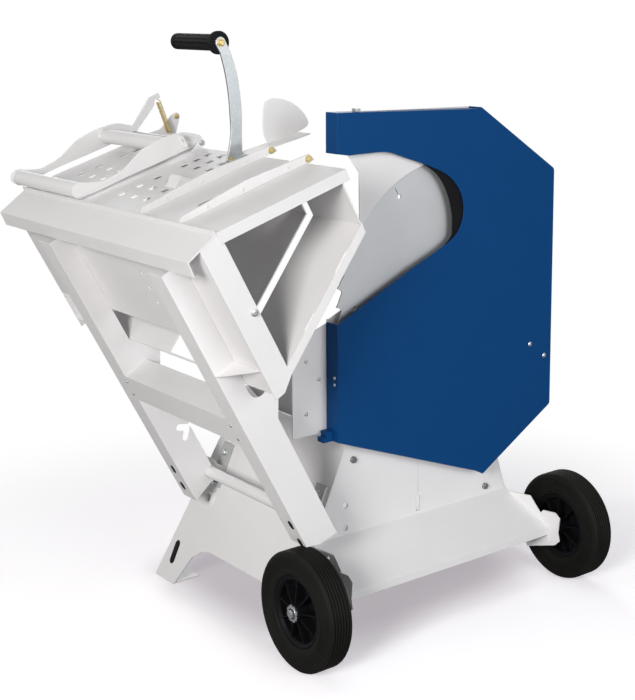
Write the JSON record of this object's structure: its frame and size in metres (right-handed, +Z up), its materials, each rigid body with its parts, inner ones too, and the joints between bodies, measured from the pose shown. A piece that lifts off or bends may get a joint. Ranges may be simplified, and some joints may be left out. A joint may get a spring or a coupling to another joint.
{
  "type": "firewood log saw",
  "caption": "Circular saw for firewood with a trough that rocks on a low shaft towards a fixed blade in a flat notched guard, on a sheet stand with two wheels.",
  "frame": {"origin": "on the ground below the middle of the bounding box", "axes": "+X the feed direction from the trough towards the blade, +Y along the trough away from the wheel side, +Z up"},
  "size_m": [1.2742, 1.01, 1.4799],
  "materials": {
    "white_paint": "satin",
    "blue_paint": "gloss",
    "motor_paint": "satin",
    "cast_bearing": "matte",
    "blade_steel": "satin",
    "zinc": "satin",
    "yellow_zinc": "satin",
    "winding": "satin",
    "tyre_rubber": "matte",
    "black_plastic": "matte",
    "green_plastic": "gloss",
    "red_plastic": "gloss"
  },
  "bodies": {
    "stand": {"operator_side_plate": "white_paint", "inner_side_plate": "white_paint", "front_plate_apron": "white_paint", "back_plate": "white_paint", "axle_bracket_near": "white_paint", "axle_bracket_far": "white_paint", "wheel_axle": "zinc", "bearing_near": "cast_bearing", "bearing_far": "cast_bearing", "blade_guard": "blue_paint", "housing_plate": "white_paint", "blade_shield": "white_paint", "guard_latch": "blue_paint", "housing_bracket": "white_paint", "motor_housing": "motor_paint", "motor_stator": "winding", "motor_end_rear": "motor_paint", "motor_bearing_front": "blade_steel", "motor_bearing_rear": "blade_steel", "fan_cover": "motor_paint", "switch_box": "black_plastic", "power_inlet": "black_plastic"},
    "rocker": {"pivot_shaft": "white_paint", "leg_near": "white_paint", "leg_far": "white_paint", "cross_shelf": "white_paint", "leg_gusset": "white_paint", "trough_left_wall": "white_paint", "trough_floor": "white_paint", "right_wall_near": "white_paint", "right_wall_far": "white_paint", "end_plate_near": "white_paint", "end_plate_far": "white_paint", "top_panel": "white_paint", "trough_cover": "white_paint", "rail_near": "white_paint", "rail_far": "white_paint", "handle_bar": "zinc", "handle_grip": "black_plastic", "chip_deflector": "white_paint", "clamp_hinge_rod": "zinc", "clamp_hinge_lug": "white_paint", "spring_bracket": "white_paint", "clamp_spring": "yellow_zinc"},
    "clamp": {"clamp_side_near": "white_paint", "clamp_side_far": "white_paint", "clamp_bar_front": "white_paint", "clamp_bar_rear": "white_paint"},
    "blade": {"saw_blade": "blade_steel", "outer_flange": "blade_steel", "arbor_nut": "zinc", "arbor_shaft": "blade_steel", "motor_rotor": "blade_steel", "motor_fan": "black_plastic"},
    "wheel_near": {"wheel_near_tyre": "tyre_rubber", "wheel_near_rim": "black_plastic"},
    "wheel_far": {"wheel_far_tyre": "tyre_rubber", "wheel_far_rim": "black_plastic"},
    "start_button": {"start_button": "green_plastic"},
    "stop_button": {"stop_button": "red_plastic"}
  },
  "joints": [
    {"name": "rocker_tilt", "type": "hinge", "parent": "stand", "child": "rocker", "pos_m": [-0.20137, -0.062, 0.317], "axis": [0, 1, 0], "range_deg": [0, 30]},
    {"name": "clamp_tilt", "type": "hinge", "parent": "rocker", "child": "clamp", "pos_m": [-0.23362, 0.3135, 1.19611], "axis": [0, 1, 0], "range_deg": [0, 25], "stiffness_Nm_per_rad": 20, "springref_deg": -5.73, "deforming": ["clamp_spring"]},
    {"name": "blade_spin", "type": "hinge", "parent": "stand", "child": "blade", "pos_m": [0.23963, -0.263, 0.822], "axis": [0, 1, 0], "continuous": true},
    {"name": "wheel_near_spin", "type": "hinge", "parent": "stand", "child": "wheel_near", "pos_m": [-0.27887, -0.362, 0.143], "axis": [1, 0, 0], "continuous": true},
    {"name": "wheel_far_spin", "type": "hinge", "parent": "stand", "child": "wheel_far", "pos_m": [0.59063, -0.362, 0.143], "axis": [1, 0, 0], "continuous": true},
    {"name": "start_button_press", "type": "slide", "parent": "stand", "child": "start_button", "axis": [0, -1, 0], "range_m": [0, 0.004], "stiffness_N_per_m": 500, "springref_m": -0.001},
    {"name": "stop_button_press", "type": "slide", "parent": "stand", "child": "stop_button", "axis": [0, -1, 0], "range_m": [0, 0.004], "stiffness_N_per_m": 500, "springref_m": -0.001}
  ]
}
